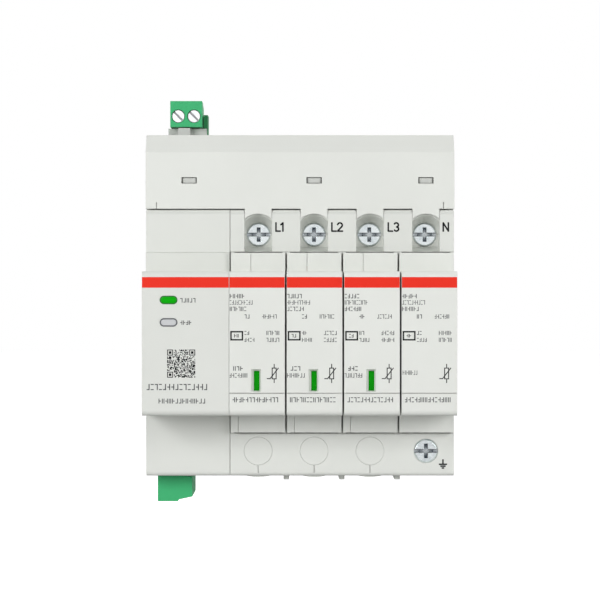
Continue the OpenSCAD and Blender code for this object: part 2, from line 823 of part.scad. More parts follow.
// tray behind the cover with the wire ducts, the latches and the connector collar
module sensor_tray() {
  head_x = supply_x + 0.8;
  color(mid_grey) difference() {
    union() {
      difference() {
        block([left, cover_back, top], [right, tray_back, cover_top]);
        block([left + tray_t, cover_back - 1, tray_floor],
          [right - tray_t, tray_back - tray_t, cover_top - tray_t]);
      }
      for (i = [0 : poles - 1]) {
        translate([pole_x(i), duct_y, top])
          linear_extrude(cover_h) round_rect(entry_w + 2, entry_d + 2, 2.5);
        translate([pole_x(i), duct_y, top])
          linear_extrude(tray_t + 3) round_rect(entry_w + 5, entry_d + 5, 2.5);
      }
      for (x = latch_x) {
        translate([x, shoulder_y + cover_wall + 0.15, 0]) {
          block([-latch_w / 2 + 0.3, 0, top + 0.05],
            [latch_w / 2 - 0.3, 1.2, top + latch_z + latch_h / 2 + 1]);
          block([-latch_w / 2 + 0.3, -0.95, top + latch_z - latch_h / 2 + 0.2],
            [latch_w / 2 - 0.3, 0.1, top + latch_z + latch_h / 2 - 0.2]);
          block([-latch_w / 2 + 0.3, 0, top], [latch_w / 2 - 0.3, 9, tray_floor]);
        }
      }
      translate([supply_x, supply_y, cover_top - 0.1]) {
        block([-5.9, 3.5, 0], [6.6, 5, 3]);
        block([-2.6, 0.3, 0], [1.3, 5, 3]);
      }
    }
    for (i = [0 : poles - 1]) {
      translate([pole_x(i), duct_y, top - 1]) linear_extrude(cover_h + 2) round_rect(entry_w, entry_d, 1.5);
    }
    translate([head_x, supply_y, 0])
      block([-6.3, 0.38 * supply_d - 0.3, cover_top - 3], [6.3, supply_d + 0.3, cover_top + 1]);
  }
}

module sensor_board() {
  color("#1d6b3c") difference() {
    block([left + tray_t + 0.4, cover_back + 1, board_z],
      [right - tray_t - 0.4, tray_back - tray_t - 0.4, board_z + board_t]);
    for (i = [0 : poles - 1]) {
      translate([pole_x(i), duct_y, board_z - 1])
        linear_extrude(board_t + 2) round_rect(entry_w + 2.4, entry_d + 2.4, 2.6);
    }
  }
}

// current-sensing rings around the wire ducts
module sensor_rings() {
  color("#2b2d30") for (i = [0 : poles - 1]) {
    translate([pole_x(i), duct_y, ring_z]) linear_extrude(board_z - ring_z) difference() {
      round_rect(pole_pitch - 2 * tray_t - 0.4, entry_d + 7, 3);
      round_rect(entry_w + 2.4, entry_d + 2.4, 2.6);
    }
  }
}

// communication module
module module_housing() {
  color(light_grey) difference() {
    union() {
      difference() {
        block([left, seam_y, -top], [module_r, plate_y, top]);
        block([left + wall, seam_y - 1, -top + wall], [module_r - wall, plate_y + 1, top - wall]);
      }
      for (s = [-1, 1]) {
        block([circuit_x - 1.5, seam_y + 6, s * (top - wall - 1.4) - 1.5],
          [circuit_x + circuit_t + 1.5, plate_y - 3, s * (top - wall - 1.4) + 1.5]);
      }
    }
    block([circuit_x - 0.2, seam_y - 1, -top + wall + 0.8],
      [circuit_x + circuit_t + 0.2, plate_y + 1, top - wall - 0.8]);
    translate([left, 0, 0]) side_field(seam_y + 3);
    translate([data_x, data_y, 0]) block([data_nose[0] - 1.5, -data_w / 2 - 0.6, -top - 1],
      [circuit_x - data_x + 0.05, data_w / 2 + 0.6, -top + 12]);
  }
}

module lens_shape(z, g) {
  translate([lens_x, z]) round_rect(lens_w + 2 * g, lens_h + 2 * g, lens_h / 2 + g - 0.02);
}

module module_front() {
  color(light_grey) difference() {
    union() {
      along_x(left, module_r) shoulder_profile(seam_y);
      along_x(left, nose_r) difference() {
        translate([nose_y, -nose_z]) square([shoulder_y - nose_y + 0.1, nose_h]);
        corner([nose_y, nose_z], [1, -1], 1.2);
        corner([nose_y, -nose_z], [1, 1], 1.9);
      }
      along_x(left, module_r) polygon([[shoulder_y + 0.5, wing_z + 0.2], [shoulder_y - 1.6, wing_z],
        [shoulder_y - 1.1, nose_z - 1], [shoulder_y + 0.5, nose_z - 1]]);
    }
    block([left + wall, shoulder_y + wall, -top + wall], [module_r - wall, seam_y + 1, top - wall]);
    block([left + wall, nose_y + wall, -nose_z + wall], [module_r - wall, seam_y, nose_z - wall]);
    along_y(nose_y - 1, nose_y + wall + 1) {
      lens_shape(power_z, 0.12);
      lens_shape(com_z, 0.12);
    }
  }
}

// lens with the light guide that reaches its lamp on the board
module lens(z) {
  along_y(nose_y + 0.05, nose_y + wall + 1) lens_shape(z, 0);
  along_y(nose_y + wall, nose_y + wall + 1) lens_shape(z, 0.7);
  translate([lens_x, 0, z]) {
    block([-1, nose_y + wall + 0.5, -0.9], [1, nose_y + 12, 0.9]);
    block([-1, nose_y + 10, -0.9], [circuit_x - lens_x - 1.6, nose_y + 12, 0.9]);
  }
}

module power_lens() {
  color("#00b000") lens(power_z);
}

module com_lens() {
  color("#d0d0d6") lens(com_z);
}

module circuit_board() {
  color("#1d6b3c") union() {
    block([circuit_x, shoulder_y + 4, -top + wall + 1],
      [circuit_x + circuit_t, plate_y - 0.5, top - wall - 1]);
    block([circuit_x, nose_y + 7, -nose_z + 4], [circuit_x + circuit_t, shoulder_y + 5, nose_z - 4]);
  }
}

module board_parts() {
  color("#26282b") {
    for (z = [power_z, com_z]) {
      translate([circuit_x, nose_y + 11, z]) block([-1.5, -1, -0.9], [0, 1, 0.9]);
    }
    translate([circuit_x + circuit_t, shoulder_y - 8, -2]) block([0, -5, -5], [1.4, 5, 5]);
    translate([circuit_x + circuit_t, -22, 18]) block([0, -9, -9], [9, 9, 9]);
    translate([circuit_x + circuit_t, -20, -12]) block([0, -4, -3], [2.2, 4, 3]);
    translate([circuit_x, -24, 24]) rotate([0, -90, 0]) cylinder(r = 4, h = 7);
  }
}

// shroud of a plug connector: w along the row, u from the screws to the back, v outwards
module header(w0, w1, u0, u1, nose, deep, ways) {
  difference() {
    block([w0, u0, -deep], [w1, u1, -0.15]);
    block([-ways * plug_pitch / 2 - 0.3, nose[0] - 0.2, -nose_l - 0.4],
      [ways * plug_pitch / 2 + 0.3, nose[1] + 0.2, 1]);
    for (k = [0 : ways - 1]) {
      translate([(k - (ways - 1) / 2) * plug_pitch, (nose[0] + nose[1]) / 2, 0])
        block([-0.5, -0.5, -deep - 1], [0.5, 0.5, 0]);
    }
  }
}

module supply_header() {
  color(green) at_supply() {
    header(-supply_w / 2 - 0.35, supply_w / 2 + 1.7, 0.38 * supply_d, supply_d, supply_nose,
      supply_z - board_z - board_t, 2);
    block([supply_w / 2 + 0.3, 0.38 * supply_d, -1], [supply_w / 2 + 1.7, supply_d, 4.3]);
  }
}

module data_header() {
  color(green) at_data() header(-data_w / 2 - 0.4, data_w / 2 + 0.4, data_nose[0] - 1.2,
    circuit_x - data_x, data_nose, 9.6, data_ways);
}

module pin(nose, deep) {
  translate([0, (nose[0] + nose[1]) / 2, 0]) block([-0.5, -0.5, -deep], [0.5, 0.5, -2]);
}

module header_pins() {
  color(zinc) {
    at_supply() for (k = [-0.5, 0.5]) {
      translate([k * plug_pitch, 0, 0]) pin(supply_nose, supply_z - board_z - board_t);
    }
    at_data() for (k = [0 : data_ways - 1]) {
      translate([(k - (data_ways - 1) / 2) * plug_pitch, 0, 0]) {
        pin(data_nose, 10.8);
        block([-0.5, (data_nose[0] + data_nose[1]) / 2 - 0.5, -10.8], [0.5, circuit_x - data_x, -9.8]);
      }
    }
  }
}

// moulded plug: screws on its u = 0 face, wires into its outer end
module plug_body(ways, w, d, h, nose, screw_v) {
  cage = [0.34 * d, 0.84 * d];
  difference() {
    union() {
      along_x(-w / 2, w / 2) polygon([[0, 0], [d - 1.7, 0], [d - 1.7, 0.7], [d, 0.7], [d, h - 1.5],
        [0.62 * d, h - 0.6], [0.58 * d, h], [0, h]]);
      block([-ways * plug_pitch / 2, nose[0], -nose_l], [ways * plug_pitch / 2, nose[1], 0.1]);
    }
    for (k = [0 : ways - 1]) {
      translate([(k - (ways - 1) / 2) * plug_pitch, 0, 0]) {
        translate([0, 0, screw_v]) rod_y(screw_head_r + 0.2, -1, cage[0] + 0.5);
        block([-2.1, cage[0], 1], [2.1, cage[1], screw_v + 2.4]);
        block([-1.7, cage[0] + 1.6, 2], [1.7, cage[1] - 0.8, h + 1]);
        translate([0, (nose[0] + nose[1]) / 2, 0]) block([-0.8, -0.8, -nose_l - 1], [0.8, 0.8, -0.6]);
      }
    }
  }
}

module plug_screw(d, screw_v) {
  translate([0, 0, screw_v]) difference() {
    union() {
      rod_y(screw_head_r, 0.5, 0.22 * d);
      rod_y(1.3, 0.2 * d, 0.34 * d + 1.9);
    }
    rotate([0, 45, 0]) block([-3, -1, -0.3], [3, 1.4, 0.3]);
  }
}

module plug_cage(d, screw_v) {
  cage = [0.34 * d + 0.2, 0.84 * d - 0.1];
  difference() {
    block([-1.95, cage[0], 1.1], [1.95, cage[1], screw_v + 2.2]);
    block([-1.5, cage[0] + 1.2, 0], [1.5, cage[1] - 0.6, screw_v + 3]);
    translate([0, 0, screw_v]) rod_y(1.5, cage[0] - 1, cage[0] + 2);
  }
}

module supply_plug() {
  color(green) at_supply() plug_body(2, supply_w, supply_d, supply_h, supply_nose, supply_screw_v);
}

module supply_screw_1() {
  color(zinc) at_supply() translate([-plug_pitch / 2, 0, 0]) plug_screw(supply_d, supply_screw_v);
}

module supply_screw_2() {
  color(zinc) at_supply() translate([plug_pitch / 2, 0, 0]) plug_screw(supply_d, supply_screw_v);
}

module supply_clamps() {
  color(zinc) at_supply() for (k = [-0.5, 0.5]) {
    translate([k * plug_pitch, 0, 0]) plug_cage(supply_d, supply_screw_v);
  }
}

module data_plug() {
  color(green) at_data() plug_body(data_ways, data_w, data_d, data_h, data_nose, supply_screw_v);
}

module data_clamps() {
  color(zinc) at_data() for (k = [0 : data_ways - 1]) {
    translate([(k - (data_ways - 1) / 2) * plug_pitch, 0, 0]) {
      plug_cage(data_d, supply_screw_v);
      plug_screw(data_d, supply_screw_v);
    }
  }
}

base_housing();
rail_plate();
sensor_cover();
sensor_tray();
sensor_board();
sensor_rings();
module_housing();
module_front();
circuit_board();
board_parts();
power_lens();
com_lens();
supply_header();
data_header();
header_pins();
blanking_caps();
phase_contact_l1();
phase_contact_l2();
phase_contact_l3();
neutral_bus();
earth_contact();
terminal_screw_l1();
terminal_screw_l2();
terminal_screw_l3();
terminal_screw_n();
terminal_screw_pe();
terminal_cage_l1();
terminal_cage_l2();
terminal_cage_l3();
terminal_cage_n();
terminal_cage_pe();
cartridge_case_l1();
cartridge_case_l2();
cartridge_case_l3();
cartridge_case_n();
cartridge_lid_l1();
cartridge_lid_l2();
cartridge_lid_l3();
varistor_l1();
varistor_l2();
varistor_l3();
gas_tube();
blades_l1();
blades_l2();
blades_l3();
blades_n();
flag_l1();
flag_l2();
flag_l3();
trip_spring_l1();
trip_spring_l2();
trip_spring_l3();
supply_plug();
supply_screw_1();
supply_screw_2();
supply_clamps();
data_plug();
data_clamps();
rail_clip_left();
rail_clip_right();
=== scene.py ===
import math

import bmesh
import bpy
from mathutils import Matrix, Vector


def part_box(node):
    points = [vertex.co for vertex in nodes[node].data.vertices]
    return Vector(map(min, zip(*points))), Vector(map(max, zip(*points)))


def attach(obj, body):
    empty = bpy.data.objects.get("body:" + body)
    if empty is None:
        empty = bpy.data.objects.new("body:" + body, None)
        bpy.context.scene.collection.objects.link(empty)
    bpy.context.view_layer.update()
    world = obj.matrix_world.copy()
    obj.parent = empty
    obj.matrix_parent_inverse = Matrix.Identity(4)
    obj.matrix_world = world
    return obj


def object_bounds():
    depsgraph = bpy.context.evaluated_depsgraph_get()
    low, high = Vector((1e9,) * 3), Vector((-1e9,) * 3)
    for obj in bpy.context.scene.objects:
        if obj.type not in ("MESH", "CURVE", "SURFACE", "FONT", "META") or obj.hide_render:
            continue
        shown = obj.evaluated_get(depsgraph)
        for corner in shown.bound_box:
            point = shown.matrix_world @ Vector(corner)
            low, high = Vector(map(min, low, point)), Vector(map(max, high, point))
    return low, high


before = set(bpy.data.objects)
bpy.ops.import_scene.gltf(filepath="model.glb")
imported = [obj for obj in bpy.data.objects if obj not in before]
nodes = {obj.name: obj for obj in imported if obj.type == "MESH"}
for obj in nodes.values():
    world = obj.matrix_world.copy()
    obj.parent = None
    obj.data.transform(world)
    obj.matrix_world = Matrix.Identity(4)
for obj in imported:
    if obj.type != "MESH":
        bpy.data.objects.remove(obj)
cadLow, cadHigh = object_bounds()
scene = bpy.context.scene
scene.view_settings.view_transform = "Standard"
mm = 0.001
phases = ["l1", "l2", "l3"]
poles = phases + ["n"]
terminals = poles + ["pe"]
print("frame loaded with", len(nodes), "nodes")

photoCamera = {"eye": (0.0, -0.816, 0.0135), "lens": 145.7, "sensor": 36.0, "near": 0.05, "far": 30.0}


def makeCamera(look):
    data = bpy.data.cameras.new("photoCamera")
    data.lens = look["lens"]
    data.sensor_width = look["sensor"]
    data.clip_start = look["near"]
    data.clip_end = look["far"]
    camera = bpy.data.objects.new("photoCamera", data)
    camera.location = look["eye"]
    camera.rotation_euler = (math.pi / 2, 0, 0)  # level, straight at the front
    scene.collection.objects.link(camera)
    scene.camera = camera


makeCamera(photoCamera)
print("camera set")


def tone(red, green, blue):  # screen values from 0 to 255, as the linear colour a socket takes
    levels = [v / 255 for v in (red, green, blue)]
    return [v / 12.92 if v <= 0.04045 else ((v + 0.055) / 1.055) ** 2.4 for v in levels] + [1]


def addNode(tree, kind, values=None, **settings):
    node = tree.nodes.new("ShaderNode" + kind)
    for name, value in settings.items():
        setattr(node, name, value)
    for name, value in (values or {}).items():
        node.inputs[name].default_value = value
    return node


mixSockets = {"factor": 0, "first": 6, "second": 7, "result": 2}  # colour sockets of a Mix node, by number


def mixColors(tree, **inputs):  # each input is a socket to link or a fixed colour
    mix = addNode(tree, "Mix", data_type="RGBA")
    for name, value in inputs.items():
        socket = mix.inputs[mixSockets[name]]
        if isinstance(value, bpy.types.NodeSocket):
            tree.links.new(value, socket)
        else:
            socket.default_value = value
    return mix.outputs[mixSockets["result"]]


def startGroup(name, inputs, outputs):  # a node group with its sockets, each a title and a kind
    group = bpy.data.node_groups.new(name, "ShaderNodeTree")
    for title, kind in inputs:
        group.interface.new_socket(title, in_out="INPUT", socket_type="NodeSocket" + kind)
    for title, kind in outputs:
        group.interface.new_socket(title, in_out="OUTPUT", socket_type="NodeSocket" + kind)
    return group, group.nodes.new("NodeGroupInput"), group.nodes.new("NodeGroupOutput")


def creviceMask(tree, reach, low, high):  # 1 in the piece's own grooves and recesses, 0 on open faces; the groups paint shade into these
    openness = addNode(tree, "AmbientOcclusion", {"Distance": reach}, samples=8, only_local=True)
    mask = addNode(tree, "MapRange", {"From Min": high, "From Max": low, "To Min": 0.0, "To Max": 1.0})
    tree.links.new(openness.outputs["AO"], mask.inputs["Value"])
    return mask.outputs["Result"]


def mouldedSkinGroup():  # spark-eroded grain, flow clouds, rubbed edges with a painted edge highlight, and painted shade in the grooves of a moulding
    group, start, end = startGroup(
        "mouldedSkin",
        [("Color", "Color"), ("RubbedAndHighlit", "Color"),
         ("Grain", "Float"), ("Depth", "Float"), ("Edge", "Float")],
        [("Color", "Color"), ("Roughness", "Float"), ("Normal", "Vector")])
    link = group.links.new
    coords = addNode(group, "TexCoord")
    grain = addNode(group, "TexNoise", {"Detail": 3.0, "Roughness": 0.6})
    link(coords.outputs["Object"], grain.inputs["Vector"])
    link(start.outputs["Grain"], grain.inputs["Scale"])
    clouds = addNode(group, "TexNoise", {"Scale": 38.0, "Detail": 2.0})
    link(coords.outputs["Object"], clouds.inputs["Vector"])
    soft = addNode(group, "Bevel", samples=4)
    link(start.outputs["Edge"], soft.inputs["Radius"])
    flat = addNode(group, "NewGeometry")
    facing = addNode(group, "VectorMath", operation="DOT_PRODUCT")
    link(soft.outputs["Normal"], facing.inputs[0])
    link(flat.outputs["Normal"], facing.inputs[1])
    # lighter edges: partly rubbed wear, partly a painted edge highlight
    edge = addNode(group, "MapRange", {"From Min": 0.99, "From Max": 0.7, "To Min": 0.0, "To Max": 0.5})
    link(facing.outputs["Value"], edge.inputs["Value"])
    shade = addNode(group, "MapRange", {"From Min": 0.3, "From Max": 0.7, "To Min": 0.985, "To Max": 1.015})
    link(clouds.outputs["Fac"], shade.inputs["Value"])
    tint = addNode(group, "HueSaturation")
    link(start.outputs["Color"], tint.inputs["Color"])
    link(shade.outputs["Result"], tint.inputs["Value"])
    edgeRubAndHighlight = mixColors(group, factor=edge.outputs["Result"], first=tint.outputs["Color"],
                    second=start.outputs["RubbedAndHighlit"])
    # painted shade: the piece's own grooves and recesses are darkened toward a grey
    grooves = creviceMask(group, reach=0.0006, low=0.15, high=0.45)
    grooveShade = mixColors(group, factor=grooves, first=edgeRubAndHighlight, second=tone(190, 190, 186))
    gloss = addNode(group, "MapRange", {"From Min": 0.3, "From Max": 0.7, "To Min": 0.42, "To Max": 0.56})
    link(grain.outputs["Fac"], gloss.inputs["Value"])
    bump = addNode(group, "Bump", {"Strength": 0.35})
    link(grain.outputs["Fac"], bump.inputs["Height"])
    link(start.outputs["Depth"], bump.inputs["Distance"])
    link(soft.outputs["Normal"], bump.inputs["Normal"])
    link(grooveShade, end.inputs["Color"])
    link(gloss.outputs["Result"], end.inputs["Roughness"])
    link(bump.outputs["Normal"], end.inputs["Normal"])
    return group


def platedMetalGroup():  # fine drag lines, blotches and painted shade in the recesses of a plated or rolled metal
    group, start, end = startGroup(
        "platedMetal",
        [("Color", "Color"), ("Stain", "Color"), ("Recess", "Color"),
         ("Lines", "Float"), ("Dull", "Float")],
        [("Color", "Color"), ("Roughness", "Float"), ("Normal", "Vector")])
    link = group.links.new
    coords = addNode(group, "TexCoord")
    stretch = addNode(group, "Mapping", {"Scale": (1.0, 1.0, 9.0)})
    link(coords.outputs["Object"], stretch.inputs["Vector"])
    drag = addNode(group, "TexNoise", {"Detail": 4.0, "Roughness": 0.65})
    link(stretch.outputs["Vector"], drag.inputs["Vector"])
    link(start.outputs["Lines"], drag.inputs["Scale"])
    blotch = addNode(group, "TexNoise", {"Scale": 420.0, "Detail": 3.0})
    link(coords.outputs["Object"], blotch.inputs["Vector"])
    spread = addNode(group, "MapRange", {"From Min": 0.42, "From Max": 0.72, "To Min": 0.0, "To Max": 0.55})
    link(blotch.outputs["Fac"], spread.inputs["Value"])
    stain = mixColors(group, factor=spread.outputs["Result"], first=start.outputs["Color"],
                      second=start.outputs["Stain"])
    # painted shade: the piece's own slots and hollows are darkened toward the Recess colour
    recesses = creviceMask(group, reach=0.002, low=0.3, high=0.85)
    recessShadeMix = mixColors(group, factor=recesses, first=stain, second=start.outputs["Recess"])
    gloss = addNode(group, "MapRange", {"From Min": 0.3, "From Max": 0.7, "To Min": -0.06, "To Max": 0.08})
    link(drag.outputs["Fac"], gloss.inputs["Value"])
    rough = addNode(group, "Math", operation="ADD")
    link(gloss.outputs["Result"], rough.inputs[0])
    link(start.outputs["Dull"], rough.inputs[1])
    soft = addNode(group, "Bevel", {"Radius": 0.00012}, samples=4)
    bump = addNode(group, "Bump", {"Strength": 0.25, "Distance": 0.00002})
    link(drag.outputs["Fac"], bump.inputs["Height"])
    link(soft.outputs["Normal"], bump.inputs["Normal"])
    link(recessShadeMix, end.inputs["Color"])
    link(rough.outputs["Value"], end.inputs["Roughness"])
    link(bump.outputs["Normal"], end.inputs["Normal"])
    return group


def printedInkGroup():  # pinholes and thin spots of pad-printed ink
    group, start, end = startGroup(
        "printedInk", [("Color", "Color"), ("Thin", "Color")], [("Color", "Color"), ("Roughness", "Float")])
    link = group.links.new
    coords = addNode(group, "TexCoord")
    speckle = addNode(group, "TexNoise", {"Scale": 5200.0, "Detail": 2.0})
    link(coords.outputs["Object"], speckle.inputs["Vector"])
    holes = addNode(group, "MapRange", {"From Min": 0.5, "From Max": 0.8, "To Min": 0.0, "To Max": 0.5})
    link(speckle.outputs["Fac"], holes.inputs["Value"])
    cover = mixColors(group, factor=holes.outputs["Result"], first=start.outputs["Color"],
                      second=start.outputs["Thin"])
    gloss = addNode(group, "MapRange", {"To Min": 0.4, "To Max": 0.62})
    link(speckle.outputs["Fac"], gloss.inputs["Value"])
    link(cover, end.inputs["Color"])
    link(gloss.outputs["Result"], end.inputs["Roughness"])
    return group


mouldedSkin = mouldedSkinGroup()
platedMetal = platedMetalGroup()
printedInk = printedInkGroup()


def startMaterial(name, group, values):  # a material whose shader takes its look from one group
    material = bpy.data.materials.new(name)
    material.use_nodes = True
    tree = material.node_tree
    shader = tree.nodes["Principled BSDF"]
    skin = tree.nodes.new("ShaderNodeGroup")
    skin.node_tree = group
    for socket, value in values.items():
        skin.inputs[socket].default_value = value
    for output in ("Color", "Roughness", "Normal"):
        if output in skin.outputs:
            target = "Base Color" if output == "Color" else output
            tree.links.new(skin.outputs[output], shader.inputs[target])
    return material, shader, skin


def plastic(name, color, rubbedAndHighlit, grain=2600.0, depth=0.00003, edge=0.00022, specular=0.4):
    values = {"Color": tone(*color), "RubbedAndHighlit": tone(*rubbedAndHighlit), "Grain": grain, "Depth": depth, "Edge": edge}
    material, shader, _ = startMaterial(name, mouldedSkin, values)
    shader.inputs["Specular IOR Level"].default_value = specular
    return material


# recess is the colour of the painted shade in the piece's own slots and hollows
def metal(name, color, stain, recess=(60, 66, 74), lines=900.0, dull=0.24):
    values = {"Color": tone(*color), "Stain": tone(*stain), "Recess": tone(*recess),
              "Lines": lines, "Dull": dull}
    material, shader, _ = startMaterial(name, platedMetal, values)
    shader.inputs["Metallic"].default_value = 1.0
    return material


def ink(name, color, thin):
    values = {"Color": tone(*color), "Thin": tone(*thin)}
    material, shader, _ = startMaterial(name, printedInk, values)
    shader.inputs["Specular IOR Level"].default_value = 0.15
    return material


def lensPlastic(name, color, rubbedAndHighlit, glow):  # clear-coated light guide with a faint inner glow
    values = {"Color": tone(*color), "RubbedAndHighlit": tone(*rubbedAndHighlit),
              "Grain": 900.0, "Depth": 0.00001, "Edge": 0.00025}
    material, shader, skin = startMaterial(name, mouldedSkin, values)
    shader.inputs["Specular IOR Level"].default_value = 0.1
    shader.inputs["Coat Weight"].default_value = 0.05
    shader.inputs["Coat Roughness"].default_value = 0.08
    shader.inputs["Emission Strength"].default_value = glow
    material.node_tree.links.new(skin.outputs["Color"], shader.inputs["Emission Color"])
    return material


flagFields = {"shown": (10, 160, 12), "tripped": (206, 32, 26), "rubbedAndHighlit": (90, 170, 90), "split": -14.75 * mm}


def flagPlastic(look):  # green field above, red field below, split at one height
    material, shader, skin = startMaterial("flagPlastic", mouldedSkin, {
        "RubbedAndHighlit": tone(*look["rubbedAndHighlit"]), "Grain": 2600.0, "Depth": 0.00002, "Edge": 0.0001})
    tree = material.node_tree
    coords = addNode(tree, "TexCoord")
    height = addNode(tree, "SeparateXYZ")
    tree.links.new(coords.outputs["Object"], height.inputs["Vector"])
    above = addNode(tree, "Math", {1: look["split"]}, operation="GREATER_THAN")
    tree.links.new(height.outputs["Z"], above.inputs[0])
    field = mixColors(tree, factor=above.outputs["Value"], first=tone(*look["tripped"]),
                      second=tone(*look["shown"]))
    tree.links.new(field, skin.inputs["Color"])
    shader.inputs["Specular IOR Level"].default_value = 0.06
    return material


def boardMask(name, mask, track):  # solder mask with raised tracks under it
    material, shader, skin = startMaterial(name, mouldedSkin, {
        "RubbedAndHighlit": tone(*track), "Grain": 1500.0, "Depth": 0.00001, "Edge": 0.00008})
    tree = material.node_tree
    coords = addNode(tree, "TexCoord")
    tracks = addNode(tree, "TexBrick", {"Scale": 90.0, "Mortar Size": 0.07, "Color1": tone(*mask),
                                        "Color2": tone(*mask), "Mortar": tone(*track)})
    tree.links.new(coords.outputs["Object"], tracks.inputs["Vector"])
    tree.links.new(tracks.outputs["Color"], skin.inputs["Color"])
    shader.inputs["Coat Weight"].default_value = 0.3
    return material


lightShell = plastic("lightShell", (226, 228, 223), (238, 239, 236))
# darker than lightShell: painted shade for the shoulders above and below the noses
baseShell = plastic("baseShell", (220, 222, 217), (233, 234, 231))
coverShell = plastic("coverShell", (224, 226, 221), (236, 237, 234))
# darker than the shell: painted shade for the latches in their windows and the collar under the plug
trayShell = plastic("trayShell", (194, 196, 192), (211, 213, 209))
railShell = plastic("railShell", (214, 216, 212), (228, 229, 226))
clipShell = plastic("clipShell", (141, 145, 148), (170, 173, 175))
plugShell = plastic("plugShell", (62, 176, 114), (112, 202, 150), grain=2000.0, specular=0.25)
headerShell = plastic("headerShell", (40, 132, 80), (90, 170, 120), grain=2000.0)
darkShell = plastic("darkShell", (40, 42, 45), (74, 76, 80))
varistorCoat = plastic("varistorCoat", (52, 102, 158), (98, 142, 188),
                       grain=700.0, depth=0.00008, edge=0.0008)
tubeCeramic = plastic("tubeCeramic", (232, 228, 218), (244, 242, 236), grain=1600.0)
zincPlate = metal("zincPlate", (245, 251, 253), (202, 214, 220), recess=(56, 66, 76), dull=0.24)
brightZinc = metal("brightZinc", (240, 242, 244), (222, 224, 228), recess=(150, 150, 154), dull=0.34)
cageSteel = metal("cageSteel", (190, 194, 198), (160, 162, 166), lines=700.0, dull=0.34)
copperBar = metal("copperBar", (206, 140, 86), (160, 98, 58), lines=600.0, dull=0.3)
tinnedPin = metal("tinnedPin", (220, 221, 219), (196, 197, 196), dull=0.28)
powerGlow = lensPlastic("powerGlow", (0, 164, 0), (30, 186, 30), 0.1)
comGlow = lensPlastic("comGlow", (202, 204, 206), (222, 224, 226), 0.02)
redInk = ink("redInk", (234, 48, 32), (242, 78, 62))
darkInk = ink("darkInk", (26, 27, 29), (70, 72, 74))
greyInk = ink("greyInk", (84, 86, 88), (150, 152, 150))
flagTwoTone = flagPlastic(flagFields)
greenBoard = boardMask("greenBoard", (22, 92, 52), (46, 128, 78))
print("materials made")

finishes = {
    lightShell: ["cartridge_case_" + p for p in poles] + ["cartridge_lid_" + p for p in phases],
    baseShell: ["base_housing", "module_housing", "module_front", "blanking_caps"],
    coverShell: ["sensor_cover"],
    trayShell: ["sensor_tray"],
    railShell: ["rail_plate"],
    clipShell: ["rail_clip_left", "rail_clip_right"],
    plugShell: ["supply_plug", "data_plug"],
    headerShell: ["supply_header", "data_header"],
    darkShell: ["sensor_rings", "board_parts"],
    varistorCoat: ["varistor_" + p for p in phases],
    tubeCeramic: ["gas_tube"],
    zincPlate: ["terminal_screw_" + t for t in terminals] + ["trip_spring_" + p for p in phases],
    brightZinc: ["supply_screw_1", "supply_screw_2"],
    cageSteel: ["terminal_cage_" + t for t in terminals] + ["supply_clamps", "data_clamps"],
    copperBar: ["phase_contact_" + p for p in phases] + ["neutral_bus", "earth_contact"]
    + ["blades_" + p for p in poles],
    tinnedPin: ["header_pins"],
    powerGlow: ["power_lens"],
    comGlow: ["com_lens"],
    flagTwoTone: ["flag_" + p for p in phases],
    greenBoard: ["circuit_board", "sensor_board"],
}
for finish, names in finishes.items():
    for name in names:
        for place in nodes[name].material_slots:
            place.material = finish
print("finishes given to", sum(len(n) for n in finishes.values()), "nodes")


def makePiece(name, mesh, material, body):  # turns a bmesh into a piece that rides on a body
    bmesh.ops.recalc_face_normals(mesh, faces=mesh.faces)
    data = bpy.data.meshes.new(name)
    mesh.to_mesh(data)
    mesh.free()
    data.materials.append(material)
    piece = bpy.data.objects.new(name, data)
    scene.collection.objects.link(piece)
    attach(piece, body)


inkFilm = {"proud": 0.025 * mm, "sunk": 0.01 * mm}  # in front of the printed face and behind it


def inkPatch(mesh, x0, x1, z0, z1, y, corner=0.0):  # one printed field on a surface that faces -Y
    deep = inkFilm["proud"] + inkFilm["sunk"]
    place = Matrix.Translation(((x0 + x1) / 2, y - inkFilm["proud"] + deep / 2, (z0 + z1) / 2))
    form = Matrix.Diagonal((x1 - x0, deep, z1 - z0, 1))
    made = bmesh.ops.create_cube(mesh, size=1.0, matrix=place @ form)
    if corner:
        cubeVerts = set(made["verts"])
        edges = [e for e in mesh.edges if set(e.verts) <= cubeVerts
                 and abs(e.verts[0].co.y - e.verts[1].co.y) > deep / 2]
        bmesh.ops.bevel(mesh, geom=edges, offset=corner, affect="EDGES", segments=3, profile=0.5,
                        material=-1)


printMarks = [  # bars of one mark of the small print, none of them a letter
    ("left", "middle"), ("right", "top"), ("top", "bottom"), ("right", "middle"), ("left", "right"),
    ("right", "bottom"), ("right", "middle", "bottom")]
markLook = {"fill": 0.72, "ofHeight": 0.19, "ofWidth": 0.34}  # mark in its step, bar in its mark


def inkRow(mesh, x0, x1, z, height, marks, y, seed=0):  # a row of plain marks, centred on z
    step = (x1 - x0) / marks
    wide = step * markLook["fill"]
    thick = min(markLook["ofHeight"] * height, markLook["ofWidth"] * wide)
    low, high = z - height / 2, z + height / 2
    for k in range(marks):
        left = x0 + k * step
        right = left + wide
        boxes = {"left": (left, left + thick, low, high), "right": (right - thick, right, low, high),
                 "top": (left, right, high - thick, high), "bottom": (left, right, low, low + thick),
                 "middle": (left, right, z - thick / 2, z + thick / 2)}
        for bar in printMarks[(seed + 3 * k + k * k) % len(printMarks)]:  # varies along the row
            inkPatch(mesh, *boxes[bar], y)


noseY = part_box("cartridge_case_l1")[0].y
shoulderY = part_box("base_housing")[0].y
redBand = {"low": 17.3 * mm, "high": 20.6 * mm, "inset": 0.06 * mm, "corner": 0.1 * mm}


